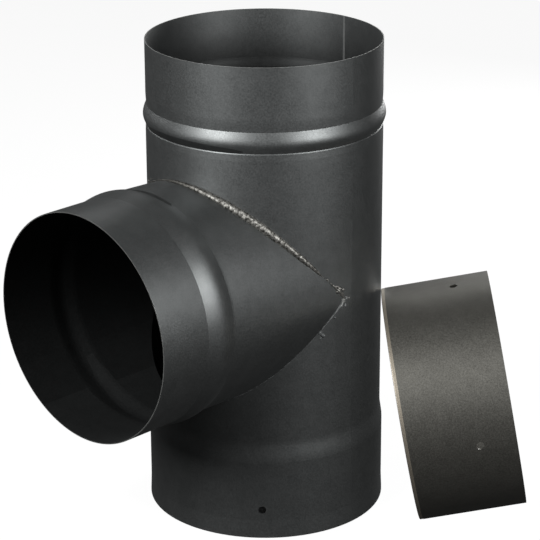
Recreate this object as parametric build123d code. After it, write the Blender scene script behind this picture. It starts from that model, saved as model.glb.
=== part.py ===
from build123d import *
import os
from math import cos, pi, radians, sin, sqrt

# A stove pipe tee of thin sheet steel, with its clean-out cap taken off.
# Millimetres. The run stands along +Z, the branch leaves along -Y, and the origin is the
# centre of the run's lower mouth. The cap leans on the run, as it was left.

# Sheet
sheet = 0.6

# Run pipe: radii are outside ones, steps are measured from the plain body or the spigot
run_radius = 75.0
socket_step = 1.5
socket_depth = 52.0
socket_shoulder = 14.0
lead_in_step = 0.45
lead_in_length = 12.0
spigot_step = 0.25
spigot_length = 32.3
spigot_neck_step = 0.65
spigot_neck_width = 6.8
run_bead_step = 1.65
run_bead_upper_half = 7.8
run_bead_lower_half = 9.4
groove_step = 1.1
groove_width = 7.0

# Branch pipe: the margin is the plain sheet left above and below its root, and distances
# along it are measured from the run's axis or back from its mouth
branch_radius = 72.2
branch_margin = 16.35
branch_reach = 158.5
branch_bead_step = 1.8
branch_bead_width = 22.5
branch_spigot_length = 36.5

# Root of the branch: dressed out sideways to the run's width, slightly pinched, and hanging low
saddle_side_margin = 0.15
saddle_spread = 1.2
saddle_drop = 2.9
saddle_squareness = 1.8
saddle_points = 24

# Welds
junction_bead_radius = 0.85
junction_bead_clearance = 0.03
junction_bead_steps = 40
seam_width = 1.6
seam_crown = 0.25
branch_seam_angle = 215.0

# Screw holes
screw_hole_radius = 2.5
screw_hole_count = 4
socket_hole_height = 19.5
socket_hole_angle = 42.2
cap_hole_inset = 22.7
cap_hole_angle = 2.6

# Cap: a ring that fits the socket, closed by a pressed disc
cap_fit_clearance = 0.5
cap_length = 68.8
cap_rim_inset = 0.15
cap_rim_width = 1.8
cap_rim_round = 0.5
cap_groove_width = 0.5
cap_groove_depth = 0.45
cap_skirt_depth = 9.0
cap_skirt_clearance = 0.05
cap_seam_angle = 140.0

# Place of the cap: how far it leans, where its axis points, and its step aside from the run's axis
cap_lean = 10.4
cap_heading = 42.9
cap_side_step = -31.5
cap_gap = 0.25
cap_turn_steps = 3600

# Radii that follow from those above
socket_radius = run_radius + socket_step
lead_in_radius = socket_radius + lead_in_step
spigot_radius = run_radius - spigot_step
spigot_neck_radius = spigot_radius - spigot_neck_step
run_bead_radius = spigot_radius + run_bead_step
groove_radius = run_radius - groove_step
branch_bead_radius = branch_radius + branch_bead_step
cap_radius = socket_radius - sheet - cap_fit_clearance

# Heights of the branch and of the run's features, from the lower rim up
saddle_half_width = run_radius - saddle_side_margin
saddle_half_height = branch_radius + saddle_spread
body_foot = socket_depth + socket_shoulder
branch_height = body_foot + branch_margin + saddle_half_height + saddle_drop
body_top = branch_height - saddle_drop + saddle_half_height + branch_margin
groove_height = body_top + groove_width
run_bead_crest = groove_height + run_bead_lower_half
neck_height = run_bead_crest + run_bead_upper_half
spigot_foot = neck_height + spigot_neck_width
run_length = spigot_foot + spigot_length

# Places of the branch's features along its axis
branch_bead_outer = branch_reach - branch_spigot_length
branch_bead_inner = branch_bead_outer - branch_bead_width
branch_bead_crest = branch_bead_outer - branch_bead_width / 2

run_stations = [
    (lead_in_radius, 0),
    (socket_radius, lead_in_length),
    (socket_radius, socket_depth),
    (run_radius, body_foot),
    (run_radius, body_top),
    (groove_radius, groove_height),
    (run_bead_radius, run_bead_crest),
    (spigot_neck_radius, neck_height),
    (spigot_radius, spigot_foot),
    (spigot_radius, run_length),
]
branch_stations = [
    (branch_radius, branch_bead_inner),
    (branch_bead_radius, branch_bead_crest),
    (branch_radius, branch_bead_outer),
    (branch_radius, branch_reach),
]
branch_place = Pos(0, 0, branch_height) * Rot(90, 0, 0)
upright = (Align.CENTER, Align.CENTER, Align.MIN)
right_half = Box(run_length, 2 * branch_reach, 2 * run_length, align=(Align.MIN, Align.CENTER, Align.CENTER))


def turned_form(stations, grow):
    """A solid turned about Z: straight where the radius stays, a soft S where it changes."""
    edges = []
    for (low_radius, low), (high_radius, high) in zip(stations, stations[1:]):
        start = (low_radius + grow, low)
        end = (high_radius + grow, high)
        if low_radius == high_radius:
            edges.append(Line(start, end))
        else:
            edges.append(Spline(start, end, tangents=((0, 1), (0, 1))))
    first_radius, bottom = stations[0]
    last_radius, top = stations[-1]
    edges.append(Line((last_radius + grow, top), (0, top)))
    edges.append(Line((0, top), (0, bottom)))
    edges.append(Line((0, bottom), (first_radius + grow, bottom)))
    return revolve(make_face([Plane.XZ * edge for edge in edges]), Axis.Z)


def signed_power(value, power):
    return abs(value) ** power * (1 if value > 0 else -1)


def saddle_outline(grow):
    """The closed outline of the branch's dressed root, an oval a little fuller low down."""
    half_width = saddle_half_width + grow
    half_height = saddle_half_height + grow
    points = []
    for step in range(saddle_points):
        turn = 2 * pi * step / saddle_points
        across = half_width * signed_power(cos(turn), 2 / saddle_squareness)
        up = half_height * signed_power(sin(turn), 2 / saddle_squareness)
        points.append((across, up - saddle_drop))
    return make_face(Spline(points, periodic=True))


def branch_form(grow):
    """The branch as a filled solid: its root from the run's axis to the bead, and its spigot."""
    neck = Pos(0, 0, branch_bead_inner) * Circle(branch_radius + grow)
    root = loft([saddle_outline(grow), neck], ruled=True)
    return branch_place * (root + turned_form(branch_stations, grow))


def both_sides(form):
    """The form's side at +X and its mirror image, so that the two match exactly."""
    side = form & right_half
    return side + mirror(side, Plane.YZ)


def screw_drills(radius, distance, first_angle):
    """Drills that point outwards from Z, evenly round a ring of the given radius."""
    reach = 4 * screw_hole_radius
    drill = Pos(radius, 0, distance) * Rot(0, 90, 0) * Cylinder(screw_hole_radius, reach)
    pitch = 360 / screw_hole_count
    return [Rot(0, 0, first_angle + pitch * step) * drill for step in range(screw_hole_count)]


def seam_slab(length, angle):
    """A thin slab from Z outwards, as wide as a seam."""
    slab = Box(2 * run_radius, seam_width, length, align=(Align.MIN, Align.CENTER, Align.MIN))
    return Rot(0, 0, angle) * slab


run_filled = turned_form(run_stations, 0)
run_hollow = turned_form(run_stations, -sheet)
branch_outside = branch_form(0)
branch_filled = both_sides(branch_outside)
branch_hollow = both_sides(branch_form(-sheet))

# Run pipe: rolled sheet with an open side for the branch and a slit where its edges meet
run_slab = seam_slab(run_length, 90)
run_wall = run_filled - run_hollow - branch_hollow
socket_drills = screw_drills(socket_radius, socket_hole_height, socket_hole_angle - 90)
run_pipe = run_wall - run_slab - socket_drills

# Run seam: it fills that slit, flush in socket and spigot and a little proud on the plain body
crown = Pos(0, 0, body_foot) * Cylinder(run_radius + seam_crown, body_top - body_foot, align=upright)
run_seam_weld = run_slab & ((run_filled + crown) - run_hollow)

# Branch pipe: its root ends on the outside of the run
branch_slab = branch_place * seam_slab(branch_reach, branch_seam_angle)
branch_wall = branch_filled - branch_hollow - run_filled
branch_pipe = branch_wall - branch_slab
branch_seam_weld = branch_wall & branch_slab


def follows_corner(edge):
    """Does the edge lie on the outside of the run's plain body, away from the middle plane?"""
    spots = [edge.position_at(share) for share in (0, 0.25, 0.5, 0.75, 1)]
    on_run = all(abs(sqrt(spot.X ** 2 + spot.Y ** 2) - run_radius) < sheet / 10 for spot in spots)
    return on_run and spots[2].X > sheet


# Junction weld: a bead that lies in the corner between the run and the root of the branch
root_wall = branch_outside.faces().sort_by(SortBy.AREA)[-1]
corner_edges = ((branch_outside - run_filled) & right_half).edges().filter_by(follows_corner)
corner = Wire(corner_edges)


def bead_centre(share):
    """Where the bead's middle lies at this share of the corner, so that it touches both walls."""
    spot = corner.position_at(share)
    off_run = Vector(spot.X, spot.Y, 0).normalized()
    off_branch = root_wall.normal_at(spot)
    offset = junction_bead_radius + junction_bead_clearance
    centre = spot + (off_run + off_branch) * (offset / (1 + off_run.dot(off_branch)))
    return Vector(centre.X if 0 < share < 1 else 0, centre.Y, centre.Z)


bead_line = Spline([bead_centre(step / junction_bead_steps) for step in range(junction_bead_steps + 1)])
bead_start = Plane(origin=bead_line.position_at(0), z_dir=bead_line.tangent_at(0))
bead_half = sweep(bead_start * Circle(junction_bead_radius), path=bead_line, is_frenet=True)
junction_weld = bead_half + mirror(bead_half, Plane.YZ)

# Cap ring, about Z with the closed end at zero, and the seam that fills its slit
cap_wall_start = cap_rim_width + cap_groove_width
ring_outside = Pos(0, 0, cap_wall_start) * Cylinder(cap_radius, cap_length - cap_wall_start, align=upright)
ring_bore = Cylinder(cap_radius - sheet, cap_length, align=upright)
ring_wall = ring_outside - ring_bore
cap_drills = screw_drills(cap_radius, cap_length - cap_hole_inset, cap_hole_angle)
cap_slab = seam_slab(cap_length, cap_seam_angle)
ring_shell = ring_wall - cap_slab - cap_drills
ring_seam = ring_wall & cap_slab


def lid():
    """A pressed disc with a rounded rim band, a fine groove behind it and a skirt in the ring."""
    rim = cap_radius - cap_rim_inset
    neck = cap_radius - cap_groove_depth
    skirt = cap_radius - sheet - cap_skirt_clearance
    skirt_end = cap_wall_start + cap_skirt_depth
    outline = Polyline(
        (0, 0),
        (rim, 0),
        (rim, cap_rim_width),
        (neck, cap_rim_width),
        (neck, cap_wall_start),
        (skirt, cap_wall_start),
        (skirt, skirt_end),
        (skirt - sheet, skirt_end),
        (skirt - sheet, cap_rim_width),
        (skirt - cap_rim_width, sheet),
        (0, sheet),
        close=True,
    )
    disc = revolve(make_face(Plane.XZ * outline), Axis.Z)
    rim_edge = disc.faces().sort_by(Axis.Z)[0].edges().filter_by(GeomType.CIRCLE)
    return fillet(rim_edge, cap_rim_round)


# The cap stands on its rim band and comes to a small gap from the run
rim_circle = cap_radius - cap_rim_inset - cap_rim_round
lean = radians(cap_lean)
cap_height = rim_circle * cos(lean) + cap_rim_round - cap_rim_round * sin(lean)


def rim_reach(turn):
    """How far from the run's axis the cap has to be for one spot of its rim to clear the run."""
    clear = run_radius + cap_gap + cap_rim_round
    aside = cap_side_step + rim_circle * cos(turn)
    if abs(aside) >= clear:
        return 0
    return rim_circle * sin(turn) * sin(lean) + sqrt(clear ** 2 - aside ** 2)


rim_turns = [2 * pi * step / cap_turn_steps for step in range(cap_turn_steps)]
cap_distance = max(rim_reach(turn) for turn in rim_turns) - cap_rim_round * cos(lean)
cap_place = Rot(0, 0, cap_heading) * Pos(cap_distance, cap_side_step, cap_height) * Rot(0, 90 - cap_lean, 0)

pieces = {
    "run_pipe": run_pipe,
    "run_seam_weld": run_seam_weld,
    "branch_pipe": branch_pipe,
    "branch_seam_weld": branch_seam_weld,
    "junction_weld": junction_weld,
    "cap_shell": cap_place * ring_shell,
    "cap_seam_weld": cap_place * ring_seam,
    "cap_end": cap_place * lid(),
}
os.makedirs("parts", exist_ok=True)
for name, piece in pieces.items():
    export_step(piece, f"parts/{name}.step")
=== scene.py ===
import bpy
from math import cos, pi, radians, sin, sqrt
from mathutils import Matrix, Vector, noise


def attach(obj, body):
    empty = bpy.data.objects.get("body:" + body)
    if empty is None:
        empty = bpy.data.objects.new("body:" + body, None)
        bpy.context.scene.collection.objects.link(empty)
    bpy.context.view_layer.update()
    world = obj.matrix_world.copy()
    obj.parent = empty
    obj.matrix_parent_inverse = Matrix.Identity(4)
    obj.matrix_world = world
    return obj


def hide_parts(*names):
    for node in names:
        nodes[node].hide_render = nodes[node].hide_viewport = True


# Stove pipe tee in matt heat-resistant paint, with its clean-out cap leaning against it.
# The sheet-metal forms are the frame's own nodes. Made here: the creases of the rolled beads, the
# junction weld with its ripples and lumps, the finishes, the pale floor and the light.

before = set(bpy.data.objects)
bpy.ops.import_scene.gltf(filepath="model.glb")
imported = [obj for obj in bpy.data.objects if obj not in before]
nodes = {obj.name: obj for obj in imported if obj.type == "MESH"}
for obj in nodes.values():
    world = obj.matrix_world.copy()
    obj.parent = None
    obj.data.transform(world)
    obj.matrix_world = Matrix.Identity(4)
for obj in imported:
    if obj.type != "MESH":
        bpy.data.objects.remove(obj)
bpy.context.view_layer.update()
scene = bpy.context.scene
scene.view_settings.view_transform = "Standard"
mm = 0.001  # sizes below are in millimetres, unless a name says otherwise
branchHeight = 158.65  # of the branch's axis, over the floor
print("frame loaded:", len(nodes), "nodes")

# Camera, set so that rims, beads and cap fall where the photograph has them
camera = {
    "distance": 1358.41,  # from the run's axis, level with the floor
    "height": 653.95,
    "around": 44.16,  # degrees from the branch's direction
    "turn": -0.13,
    "down": 20.21,
    "roll": -0.23,
    "lens": 149.2,
    "sensor": 36,
    "farEnd": 20000,
}


def addCamera():
    lens = bpy.data.cameras.new("camera")
    lens.lens = camera["lens"]
    lens.sensor_width = camera["sensor"]
    lens.clip_end = camera["farEnd"] * mm
    eye = bpy.data.objects.new("camera", lens)
    scene.collection.objects.link(eye)
    aim = Matrix.Rotation(radians(camera["around"] + camera["turn"]), 4, "Z")
    aim = aim @ Matrix.Rotation(radians(90 - camera["down"]), 4, "X")
    aim = aim @ Matrix.Rotation(radians(camera["roll"]), 4, "Z")
    place = Vector((0, -camera["distance"], camera["height"]))
    place = Matrix.Rotation(radians(camera["around"]), 4, "Z") @ place
    eye.matrix_world = Matrix.Translation(place * mm) @ aim
    scene.camera = eye


addCamera()


def selectOnly(*pieces):  # the last one is made active
    bpy.ops.object.select_all(action="DESELECT")
    for piece in pieces:
        piece.select_set(True)
    bpy.context.view_layer.objects.active = pieces[-1]


def linearColour(hexText):  # sRGB hex to the linear colour that a shader takes
    parts = [int(hexText[i:i + 2], 16) / 255 for i in (1, 3, 5)]
    return [p / 12.92 if p <= 0.04045 else ((p + 0.055) / 1.055) ** 2.4 for p in parts] + [1.0]


def addNode(tree, kind, links=None, **settings):  # sockets are set, or linked to a socket or a node
    node = tree.nodes.new(kind)
    for name, value in settings.items():
        setattr(node, name, value)
    for socket, value in (links or {}).items():
        if isinstance(value, bpy.types.Node):
            value = next(output for output in value.outputs if output.enabled)
        if isinstance(value, bpy.types.NodeSocket):
            tree.links.new(value, node.inputs[socket])
        else:
            node.inputs[socket].default_value = value
    return node


def newMaterial(name):
    material = bpy.data.materials.new(name)
    material.use_nodes = True
    tree = material.node_tree
    tree.nodes.clear()
    return material, tree


# Heat-resistant silicone paint with metallic pigment, sprayed on sheet steel and stoved: near black
# away from the lamps, with a wide grey sheen under them and a fine grain where the sheen is strongest
paint = {
    "dark": "#454747",
    "light": "#676969",
    "seamHighlight": "#7c7d7c",  # the run's seam, painted lighter all along: a painted highlight for the light its crown takes, seen as a light line inside the upper mouth
    "capDark": "#494844",
    "capLight": "#6b6a65",
    "pigment": 0.9,  # share of the light that it returns as metal flake does
    "mottle": 9.0,  # soft patches of thicker and thinner paint
    "grain": 0.9,  # real pigment grain is near 0.2, drawn as coarse as one pixel to show
    "grainShare": 0.6,  # of the change of tone, the rest being mottle
    "grainRange": (0.3, 0.7),  # of the noise, from the glossiest paint to the dullest
    "grainRelief": 0.02,
    "roughness": 0.48,
    "roughnessSwing": 0.05,
}

# Thin paint and painted shade on the tee. The sheet's edges at the two mouths are thinly covered, and the
# pipes are painted darker inside: painted shade for the shade deep in them. A share says how far a colour
# takes over
teeWearAndShade = {
    "edge": "#8a8b89",
    "edgeShare": 0.6,
    "topEdge": 308.7,  # the edges lie beyond these places
    "branchEdge": -158.4,
    # painted shade inside the pipes, darker deeper in the run
    "inside": "#060606",
    "inwards": 20,  # least distance from the axis, times how squarely the inside faces it
    "runShares": [(274, 0.62), (308, 0.12)],  # share of painted shade inside the run, by height
    "branchFoot": -50,  # the inside of the branch lies beyond this
    "branchShare": 0.5,
}

# The band round the cap's closed end, worn where it slides into the socket
capRim = {
    "around": 42.9,  # the cap's axis, away from its closed end, in degrees round from +X and up
    "up": 10.4,
    "worn": "#928b7f",
    "lean": 0.5,  # largest cosine between the axis and the way that a face of the band points
}


def edgeShare(tree, place):  # on the sheet's edges at the two mouths
    _, y, z = addNode(tree, "ShaderNodeSeparateXYZ", {0: place}).outputs
    atTop = addNode(tree, "ShaderNodeMath", {0: z, 1: teeWearAndShade["topEdge"] * mm}, operation="GREATER_THAN")
    atMouth = addNode(tree, "ShaderNodeMath", {0: y, 1: teeWearAndShade["branchEdge"] * mm}, operation="LESS_THAN")
    either = addNode(tree, "ShaderNodeMath", {0: atTop, 1: atMouth}, operation="MAXIMUM")
    return addNode(tree, "ShaderNodeMath", {0: either, 1: teeWearAndShade["edgeShare"]}, operation="MULTIPLY")


def facesAxis(tree, normal, away):  # 1 where a surface faces the axis that it lies away from
    facing = addNode(tree, "ShaderNodeVectorMath", {0: normal, 1: away}, operation="DOT_PRODUCT")
    return addNode(tree, "ShaderNodeMath", {0: facing, 1: -teeWearAndShade["inwards"] * mm}, operation="LESS_THAN")


def paintedShadeInside(tree, place, normal):  # share of painted shade inside the run and the branch
    x, y, z = addNode(tree, "ShaderNodeSeparateXYZ", {0: place}).outputs
    offRun = addNode(tree, "ShaderNodeCombineXYZ", {0: x, 1: y})
    (deep, deepShare), (shallow, shallowShare) = teeWearAndShade["runShares"]
    fade = addNode(tree, "ShaderNodeMapRange", {
        "Value": z,
        "From Min": deep * mm,
        "From Max": shallow * mm,
        "To Min": deepShare,
        "To Max": shallowShare,
    })
    inRun = facesAxis(tree, normal, offRun)
    inRun = addNode(tree, "ShaderNodeMath", {0: inRun, 1: fade}, operation="MULTIPLY")
    up = addNode(tree, "ShaderNodeMath", {0: z, 1: branchHeight * mm}, operation="SUBTRACT")
    offBranch = addNode(tree, "ShaderNodeCombineXYZ", {0: x, 2: up})
    inBranch = facesAxis(tree, normal, offBranch)
    beyond = addNode(tree, "ShaderNodeMath", {0: y, 1: teeWearAndShade["branchFoot"] * mm}, operation="LESS_THAN")
    share = addNode(tree, "ShaderNodeMath", {0: beyond, 1: teeWearAndShade["branchShare"]}, operation="MULTIPLY")
    inBranch = addNode(tree, "ShaderNodeMath", {0: inBranch, 1: share}, operation="MULTIPLY")
    return addNode(tree, "ShaderNodeMath", {0: inRun, 1: inBranch}, operation="MAXIMUM")


# thin paint on the sheet's edges, then painted shade inside the pipes
def addTeeWearAndShade(tree, colour):
    spot = addNode(tree, "ShaderNodeTexCoord").outputs
    edge = edgeShare(tree, spot["Object"])
    inside = paintedShadeInside(tree, spot["Object"], spot["Normal"])
    for share, overlay in ((edge, "edge"), (inside, "inside")):
        colours = {"Factor": share, "A": colour, "B": linearColour(teeWearAndShade[overlay])}
        colour = addNode(tree, "ShaderNodeMix", colours, data_type="RGBA")
    return colour


def addRimBand(tree, colour):
    around, up = radians(capRim["around"]), radians(capRim["up"])
    axis = (cos(around) * cos(up), sin(around) * cos(up), sin(up))
    normal = addNode(tree, "ShaderNodeTexCoord").outputs["Normal"]
    along = addNode(tree, "ShaderNodeVectorMath", {0: normal, 1: axis}, operation="DOT_PRODUCT")
    lean = addNode(tree, "ShaderNodeMath", {0: along}, operation="ABSOLUTE")
    band = addNode(tree, "ShaderNodeMath", {0: lean, 1: capRim["lean"]}, operation="LESS_THAN")
    colours = {"Factor": band, "A": colour, "B": linearColour(capRim["worn"])}
    return addNode(tree, "ShaderNodeMix", colours, data_type="RGBA")


def paintMaterial(name, dark, light, addWearAndShade=None):
    material, tree = newMaterial(name)
    place = addNode(tree, "ShaderNodeTexCoord").outputs["Object"]
    mottle = addNode(tree, "ShaderNodeTexNoise", {
        "Vector": place,
        "Scale": 1 / (paint["mottle"] * mm),
        "Detail": 3,
    })
    grain = addNode(tree, "ShaderNodeTexNoise", {
        "Vector": place,
        "Scale": 1 / (paint["grain"] * mm),
        "Detail": 2,
    })
    tone = addNode(tree, "ShaderNodeMix", {"Factor": paint["grainShare"], "A": mottle, "B": grain})
    colours = {"Factor": tone, "A": linearColour(dark), "B": linearColour(light)}
    colour = addNode(tree, "ShaderNodeMix", colours, data_type="RGBA")
    if addWearAndShade:
        colour = addWearAndShade(tree, colour)
    dull = addNode(tree, "ShaderNodeMapRange", {
        "Value": grain,
        "From Min": paint["grainRange"][0],
        "From Max": paint["grainRange"][1],
        "To Min": paint["roughness"] - paint["roughnessSwing"],
        "To Max": paint["roughness"] + paint["roughnessSwing"],
    })
    relief = addNode(tree, "ShaderNodeBump", {
        "Height": grain,
        "Distance": paint["grainRelief"] * mm,
        "Strength": 1.0,
    })
    shader = addNode(tree, "ShaderNodeBsdfPrincipled", {
        "Base Color": colour,
        "Roughness": dull,
        "Metallic": paint["pigment"],
        "Normal": relief,
    })
    addNode(tree, "ShaderNodeOutputMaterial", {"Surface": shader})
    return material


# the tee's paint, with thin paint on its edges and painted shade inside its pipes
teePaint = paintMaterial("heat_resistant_paint", paint["dark"], paint["light"], addTeeWearAndShade)
# The run's seam gets paint lighter than the tee's: a painted highlight
seamHighlightPaint = paintMaterial("heat_resistant_paint_seam_highlight", paint["light"], paint["seamHighlight"])
capPaint = paintMaterial("heat_resistant_paint_cap", paint["capDark"], paint["capLight"])
capEndPaint = paintMaterial("heat_resistant_paint_worn_rim", paint["capDark"], paint["capLight"], addRimBand)
finishes = {
    "cap_shell": capPaint,
    "cap_seam_weld": capPaint,
    "cap_end": capEndPaint,
    "run_seam_weld": seamHighlightPaint,
}
for name, node in nodes.items():
    for slot in node.material_slots:
        slot.material = finishes.get(name, teePaint)
print("paint on")

# Rolled beads: the frame's own are softer at their feet than real ones, so a thin skin over each gives
# the crease. Stations are radius, place along the pipe and lean (0 soft, 1 straight, more creased)
beads = {
    "around": 360,  # steps round a skin
    "along": 10,  # steps from one station to the next
    "under": 0.3,  # depth of a skin's inner side in the sheet
    "smooth": 7,  # degrees between faces up to which they shade as one
    "run": [
        (74.995, 241.5, 1), (75.005, 245.2, 1), (75.0, 250.5, 1), (74.85, 254.6, 1), (74.52, 255.2, 1.3),
        (76.58, 261.2, 0), (74.42, 268.5, 1.3), (74.76, 276.5, 0), (74.745, 279.5, 1),
    ],
    "branch": [
        (72.18, 99.3, 1), (72.3, 101.0, 1.3), (74.15, 110.5, 0), (72.215, 122.1, 1.1), (72.195, 125.0, 1),
    ],
}


def beadOutline(stations, inwards):  # points of an outline, from its stations
    points = []
    for (lowRadius, low, lowLean), (highRadius, high, highLean) in zip(stations, stations[1:]):
        for step in range(beads["along"]):
            t = step / beads["along"]
            rise = 3 * t ** 2 - 2 * t ** 3
            rise = rise + lowLean * (t ** 3 - 2 * t ** 2 + t) + highLean * (t ** 3 - t ** 2)
            radius = lowRadius + (highRadius - lowRadius) * rise - inwards
            points.append(Vector((radius, 0, low + (high - low) * t)) * mm)
    points.append(Vector((stations[-1][0] - inwards, 0, stations[-1][1])) * mm)
    return points


def beadSkin(name, stations):  # a ring turned about Z from a closed outline
    outline = beadOutline(stations, 0) + beadOutline(stations, beads["under"])[::-1]
    shape = bpy.data.meshes.new(name)
    shape.from_pydata(outline, [(i, (i + 1) % len(outline)) for i in range(len(outline))], [])
    skin = bpy.data.objects.new(name, shape)
    scene.collection.objects.link(skin)
    selectOnly(skin)
    bpy.ops.object.modifier_add(type="SCREW")
    turn = skin.modifiers[-1]
    turn.steps = beads["around"]
    turn.render_steps = beads["around"]
    turn.use_merge_vertices = True
    turn.use_normal_calculate = True
    bpy.ops.object.modifier_apply(modifier=turn.name)
    bpy.ops.object.mode_set(mode="EDIT")
    bpy.ops.mesh.select_all(action="SELECT")
    bpy.ops.mesh.normals_make_consistent(inside=False)
    bpy.ops.object.mode_set(mode="OBJECT")
    bpy.ops.object.shade_smooth_by_angle(angle=radians(beads["smooth"]))
    return skin


runSkin = beadSkin("run_bead_skin", beads["run"])
branchSkin = beadSkin("branch_bead_skin", beads["branch"])
branchSkin.rotation_euler = (radians(90), 0, 0)
branchSkin.location = (0, 0, branchHeight * mm)
bpy.ops.object.transform_apply(location=True, rotation=True, scale=True)
for skin in (runSkin, branchSkin):
    skin.data.materials.append(teePaint)
    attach(skin, "root")
print("bead skins:", len(runSkin.data.polygons) + len(branchSkin.data.polygons), "faces")

# Junction weld: stick-welded mild steel that ran in the corner between run and branch. Bright and
# rippled above, thin and painted over below, with lumps where the rod was started and stopped
weld = {
    "run": 75.0,  # radii of the run and of the branch's mouth
    "mouth": 72.2,
    "rootWide": 74.85,  # half width and half height of the branch's root, over the run's axis
    "rootHigh": 73.4,
    "rootDrop": 2.9,
    "rootSquare": 1.8,  # power of the root's outline, 2 being an ellipse
    "mouthPlace": 99.5,  # where the root has become round, from the run's axis
    "rounds": 8,  # passes that bring a point of the corner onto both walls
    "steps": 1300,
    "ripple": 3.1,  # spacing of the ripples along the bead
    "rippleDepth": 0.08,  # as a share of the bead
    "swell": 2.3,  # length of its slower swells, and their depth beside the ripples'
    "swellShare": 0.6,
    "sink": 0.4,  # share of the bead's radius that its middle stands off the corner
    "around": 16,  # faces round the bead
    "coarse": 2.2,  # sizes and depths of the uneven surface
    "coarseDepth": 0.8,
    "fine": 0.8,
    "fineDepth": 0.2,
}

# Radius of the bead by its place round the corner, in degrees up from the +X side
beadWidths = [
    (-180, 0.35), (-150, 0.22), (-90, 0.16), (-30, 0.16), (-14, 0.2), (-8, 0.6), (-4, 1.1), (0, 0.9),
    (5, 1.2), (9, 0.7), (12, 0.18), (15, 0.2), (18, 0.9), (25, 1.7), (45, 2.6), (60, 2.4), (75, 1.8),
    (90, 1.2), (100, 0.6), (112, 0.4), (118, 0.8), (128, 0.75), (140, 0.5), (180, 0.35),
]

# Lumps and spatter on the run: degrees round from the branch's direction, height, radius
lumps = [
    (80.5, 164.7, 1.1), (82.3, 163.2, 1.4), (84.3, 161.9, 1.1), (80.5, 161.4, 1.3), (82.9, 159.3, 1.5),
    (84.3, 154.2, 1.5), (86.3, 155.6, 1.1), (87.9, 155.0, 0.9), (85.6, 151.1, 1.0), (83.4, 150.8, 1.2),
    (79.4, 144.7, 0.8), (71.0, 136.7, 1.4), (72.6, 134.6, 1.4), (71.4, 133.0, 0.9), (56.1, 190.2, 0.7),
    (56.9, 189.4, 0.4), (74.9, 170.9, 0.5), (-31.8, 221.0, 0.6), (-28.0, 223.4, 0.6), (-25.0, 225.2, 0.5),
]


def between(keys, place):  # the value of a list of (place, value) at a place
    for (low, first), (high, last) in zip(keys, keys[1:]):
        if place <= high:
            return first + (last - first) * (place - low) / (high - low)
    return keys[-1][1]


def signedPower(value, power):
    return abs(value) ** power * (1 if value > 0 else -1)


def cornerPoint(turn):  # a point of the corner, and the ways out of the run's and the branch's wall there
    away = sqrt(weld["run"] ** 2 - (weld["rootWide"] * cos(turn)) ** 2)
    for _ in range(weld["rounds"]):
        share = away / weld["mouthPlace"]
        wide = weld["rootWide"] + (weld["mouth"] - weld["rootWide"]) * share
        high = weld["rootHigh"] + (weld["mouth"] - weld["rootHigh"]) * share
        square = weld["rootSquare"] + (2 - weld["rootSquare"]) * share
        across = wide * signedPower(cos(turn), 2 / square)
        away = sqrt(max(weld["run"] ** 2 - across ** 2, 0))
    up = branchHeight + high * signedPower(sin(turn), 2 / square) - weld["rootDrop"] * (1 - share)
    offRun = Vector((across, -away, 0)).normalized()
    offBranch = Vector((cos(turn) / wide, 0, sin(turn) / high)).normalized()
    return Vector((across, -away, up)), offRun, offBranch


def settle(piece, depthBySize):  # unevenness of the cooled metal, then smooth shading
    selectOnly(piece)
    for size, depth in depthBySize:
        clouds = bpy.data.textures.new("unevenness", "CLOUDS")
        clouds.noise_scale = size * mm
        clouds.noise_depth = 2
        bpy.ops.object.modifier_add(type="DISPLACE")
        push = piece.modifiers[-1]
        push.texture = clouds
        push.texture_coords = "LOCAL"
        push.strength = depth * mm
        bpy.ops.object.modifier_apply(modifier=push.name)
    bpy.ops.object.shade_smooth()


def weldBead():
    path = bpy.data.curves.new("junction_weld_bead", "CURVE")
    path.dimensions = "3D"
    path.bevel_depth = mm
    path.bevel_resolution = weld["around"] // 2 - 2
    line = path.splines.new("POLY")
    line.points.add(weld["steps"] - 1)
    line.use_cyclic_u = True
    along = 0
    before = None
    for step, point in enumerate(line.points):
        degrees = -180 + 360 * step / weld["steps"]
        corner, offRun, offBranch = cornerPoint(radians(degrees))
        along += (corner - before).length if before else 0
        before = corner
        swell = noise.noise(Vector((along / weld["swell"], 0, 0)))
        wave = abs(sin(pi * along / weld["ripple"])) + weld["swellShare"] * swell
        radius = between(beadWidths, degrees) * (1 + weld["rippleDepth"] * wave)
        middle = corner + (offRun + offBranch) * (radius * weld["sink"] / (1 + offRun.dot(offBranch)))
        point.co = (*(middle * mm), 1)
        point.radius = radius
    bead = bpy.data.objects.new("junction_weld_bead", path)
    scene.collection.objects.link(bead)
    selectOnly(bead)
    bpy.ops.object.convert(target="MESH")
    return bead


def weldLump(around, height, radius):  # a drop of metal half sunk in the run's wall
    turn = radians(around)
    place = Vector((sin(turn), -cos(turn), 0)) * weld["run"] + Vector((0, 0, height))
    bpy.ops.object.select_all(action="DESELECT")
    bpy.ops.mesh.primitive_ico_sphere_add(subdivisions=3, radius=radius * mm, location=place * mm)
    lump = bpy.context.object
    bpy.ops.object.transform_apply(location=True, rotation=True, scale=True)
    return lump


bead = weldBead()
drops = [weldLump(*lump) for lump in lumps]
settle(bead, [(weld["coarse"], weld["coarseDepth"]), (weld["fine"], weld["fineDepth"])])
for drop in drops:
    settle(drop, [(weld["coarse"], 2 * weld["coarseDepth"]), (weld["fine"], weld["fineDepth"])])
selectOnly(*drops, bead)
bpy.ops.object.join()
bead.name = "junction_weld_bead"

# Weld metal: mild steel left bare, bright in patches and dull between them. Its lower half carries
# the tee's paint
steel = {
    "bright": "#84837f",
    "dull": "#3b3a37",
    "patch": 1.5,
    "patchRange": (0.35, 0.6),  # of the noise, from dull metal to bright
    "acrossShares": [(4, 0.25), (34, 1.0)],  # share of bright metal by place across the tee, less towards -X
    "paintedBelow": 156,  # height under which the bead was sprayed with the pipe
    "blend": 5,
    "roughness": 0.58,
}


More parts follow.
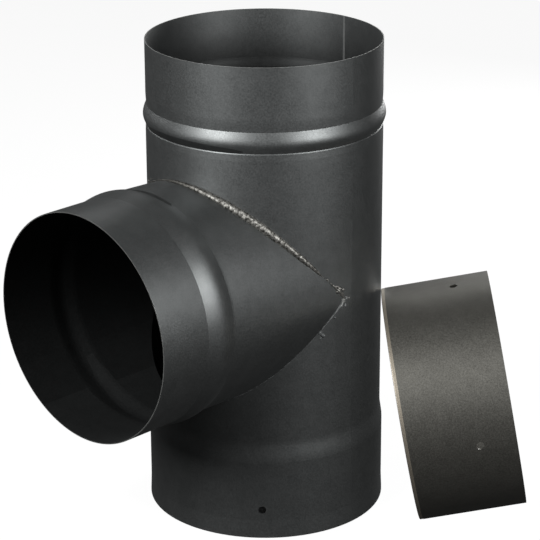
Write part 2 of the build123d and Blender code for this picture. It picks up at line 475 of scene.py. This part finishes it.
def weldMaterial():
    material, tree = newMaterial("bare_weld_steel")
    place = addNode(tree, "ShaderNodeTexCoord").outputs["Object"]
    patches = addNode(tree, "ShaderNodeTexNoise", {
        "Vector": place,
        "Scale": 1 / (steel["patch"] * mm),
        "Detail": 4,
    })
    metal = addNode(tree, "ShaderNodeMapRange", {
        "Value": patches,
        "From Min": steel["patchRange"][0],
        "From Max": steel["patchRange"][1],
    })
    parts = addNode(tree, "ShaderNodeSeparateXYZ", {0: place}).outputs
    (dimPlace, dimShare), (fullPlace, fullShare) = steel["acrossShares"]
    acrossShare = addNode(tree, "ShaderNodeMapRange", {
        "Value": parts["X"],
        "From Min": dimPlace * mm,
        "From Max": fullPlace * mm,
        "To Min": dimShare,
        "To Max": fullShare,
    })
    share = addNode(tree, "ShaderNodeMath", {0: metal, 1: acrossShare}, operation="MULTIPLY")
    colours = {"Factor": share, "A": linearColour(steel["dull"]), "B": linearColour(steel["bright"])}
    colour = addNode(tree, "ShaderNodeMix", colours, data_type="RGBA")
    ragged = {0: patches, 1: 3 * steel["blend"] * mm, 2: parts["Z"]}  # the paint's edge follows the noise
    bare = addNode(tree, "ShaderNodeMapRange", {
        "Value": addNode(tree, "ShaderNodeMath", ragged, operation="MULTIPLY_ADD"),
        "From Min": (steel["paintedBelow"] + steel["blend"]) * mm,
        "From Max": (steel["paintedBelow"] + 2 * steel["blend"]) * mm,
    })
    colours = {"Factor": bare, "A": linearColour(paint["dark"]), "B": colour}
    shader = addNode(tree, "ShaderNodeBsdfPrincipled", {
        "Base Color": addNode(tree, "ShaderNodeMix", colours, data_type="RGBA"),
        "Metallic": bare,
        "Roughness": addNode(tree, "ShaderNodeMapRange", {
            "Value": bare,
            "To Min": paint["roughness"],
            "To Max": steel["roughness"],
        }),
    })
    addNode(tree, "ShaderNodeOutputMaterial", {"Surface": shader})
    return material


bead.data.materials.clear()
bead.data.materials.append(weldMaterial())
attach(bead, "root")
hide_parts("junction_weld")
print("weld bead:", len(bead.data.polygons), "faces")

# Floor and room: pale and even, white to the camera, and darker where the object shades it
room = {
    "floor": 12000,
    "floorDrop": 0.2,  # clear of the metal that stands on it
    "floorColour": "#ececec",
    "bounceColour": "#1c1c1c",  # for light that bounces off it, as if dark cloth lay round the tee
    "seenWhite": 0.93,  # share of plain white in what the camera sees of the floor
    "mirroredWhite": 0.02,  # the same share in what the paint and the weld mirror
    "fill": 0.03,  # strength of the room's light
    "footprint": 76,  # radius of the shaded floor inside the socket
}


def addFloor():
    bpy.ops.object.select_all(action="DESELECT")
    bpy.ops.mesh.primitive_plane_add(size=room["floor"] * mm, location=(0, 0, -room["floorDrop"] * mm))
    floor = bpy.context.object
    floor.name = "floor"
    material, tree = newMaterial("pale_floor")
    path = addNode(tree, "ShaderNodeLightPath").outputs
    toCamera = path["Is Camera Ray"]
    place = addNode(tree, "ShaderNodeTexCoord").outputs["Object"]
    away = addNode(tree, "ShaderNodeVectorMath", {0: place}, operation="LENGTH")
    outside = addNode(tree, "ShaderNodeMath", {0: away, 1: room["footprint"] * mm}, operation="GREATER_THAN")
    seen = addNode(tree, "ShaderNodeMath", {0: toCamera, 1: room["seenWhite"]}, operation="MULTIPLY")
    through = addNode(tree, "ShaderNodeMath", {0: path["Is Glossy Ray"], 1: path["Is Transmission Ray"]})
    mirrored = addNode(tree, "ShaderNodeMath", {0: through, 1: room["mirroredWhite"]}, operation="MULTIPLY")
    either = addNode(tree, "ShaderNodeMath", {0: seen, 1: mirrored}, operation="MAXIMUM")
    share = addNode(tree, "ShaderNodeMath", {0: either, 1: outside}, operation="MULTIPLY")
    bounced, shown = linearColour(room["bounceColour"]), linearColour(room["floorColour"])
    colour = addNode(tree, "ShaderNodeMix", {"Factor": toCamera, "A": bounced, "B": shown}, data_type="RGBA")
    matt = addNode(tree, "ShaderNodeBsdfDiffuse", {"Color": colour})
    glow = addNode(tree, "ShaderNodeEmission", {"Color": (1, 1, 1, 1), "Strength": 1.0})
    mixed = addNode(tree, "ShaderNodeMixShader", {0: share, 1: matt, 2: glow})
    addNode(tree, "ShaderNodeOutputMaterial", {"Surface": mixed})
    floor.data.materials.append(material)


def addRoom():
    world = bpy.data.worlds.new("room")
    world.use_nodes = True
    scene.world = world
    tree = world.node_tree
    tree.nodes.clear()
    path = addNode(tree, "ShaderNodeLightPath").outputs
    strength = addNode(tree, "ShaderNodeMapRange", {
        "Value": path["Is Camera Ray"],
        "To Min": room["fill"],
        "To Max": 1.0,
    })
    sky = addNode(tree, "ShaderNodeBackground", {"Color": (1, 1, 1, 1), "Strength": strength})
    addNode(tree, "ShaderNodeOutputWorld", {"Surface": sky})


addFloor()
addRoom()

# Softboxes: degrees round from the camera's side and up, width, height and watts
lamps = {
    "away": 1000,  # from the point of the run's axis that they face
    "aim": 160,  # height of that point
    "boxes": {
        "left_softbox": (-45, 28, 400, 420, 15.5),
        "right_softbox": (46, 24, 340, 380, 11),
        "back_softbox": (-120, 28, 300, 300, 2.4),
        "far_softbox": (150, 18, 300, 500, 10),
        "top_softbox": (180, 40, 500, 200, 0.8),
    },
}


def addSoftbox(name, around, up, wide, high, power):
    lamp = bpy.data.lights.new(name, "AREA")
    lamp.shape = "RECTANGLE"
    lamp.size = wide * mm
    lamp.size_y = high * mm
    lamp.energy = power
    box = bpy.data.objects.new(name, lamp)
    scene.collection.objects.link(box)
    way = Matrix.Rotation(radians(camera["around"] + around), 4, "Z") @ Matrix.Rotation(radians(-up), 4, "X")
    way = way @ Vector((0, -1, 0))
    box.location = Vector((0, 0, lamps["aim"] * mm)) + way * lamps["away"] * mm
    box.rotation_euler = (-way).to_track_quat("-Z", "Y").to_euler()
    return box


# In the photograph the cap throws no shade on the run, so the lamps pass through the cap
shading = bpy.data.collections.new("shading_pieces")
for name, node in nodes.items():
    if not name.startswith("cap"):
        shading.objects.link(node)
for name, settings in lamps["boxes"].items():
    box = addSoftbox(name, *settings)
    box.light_linking.blocker_collection = shading
print("light ready")
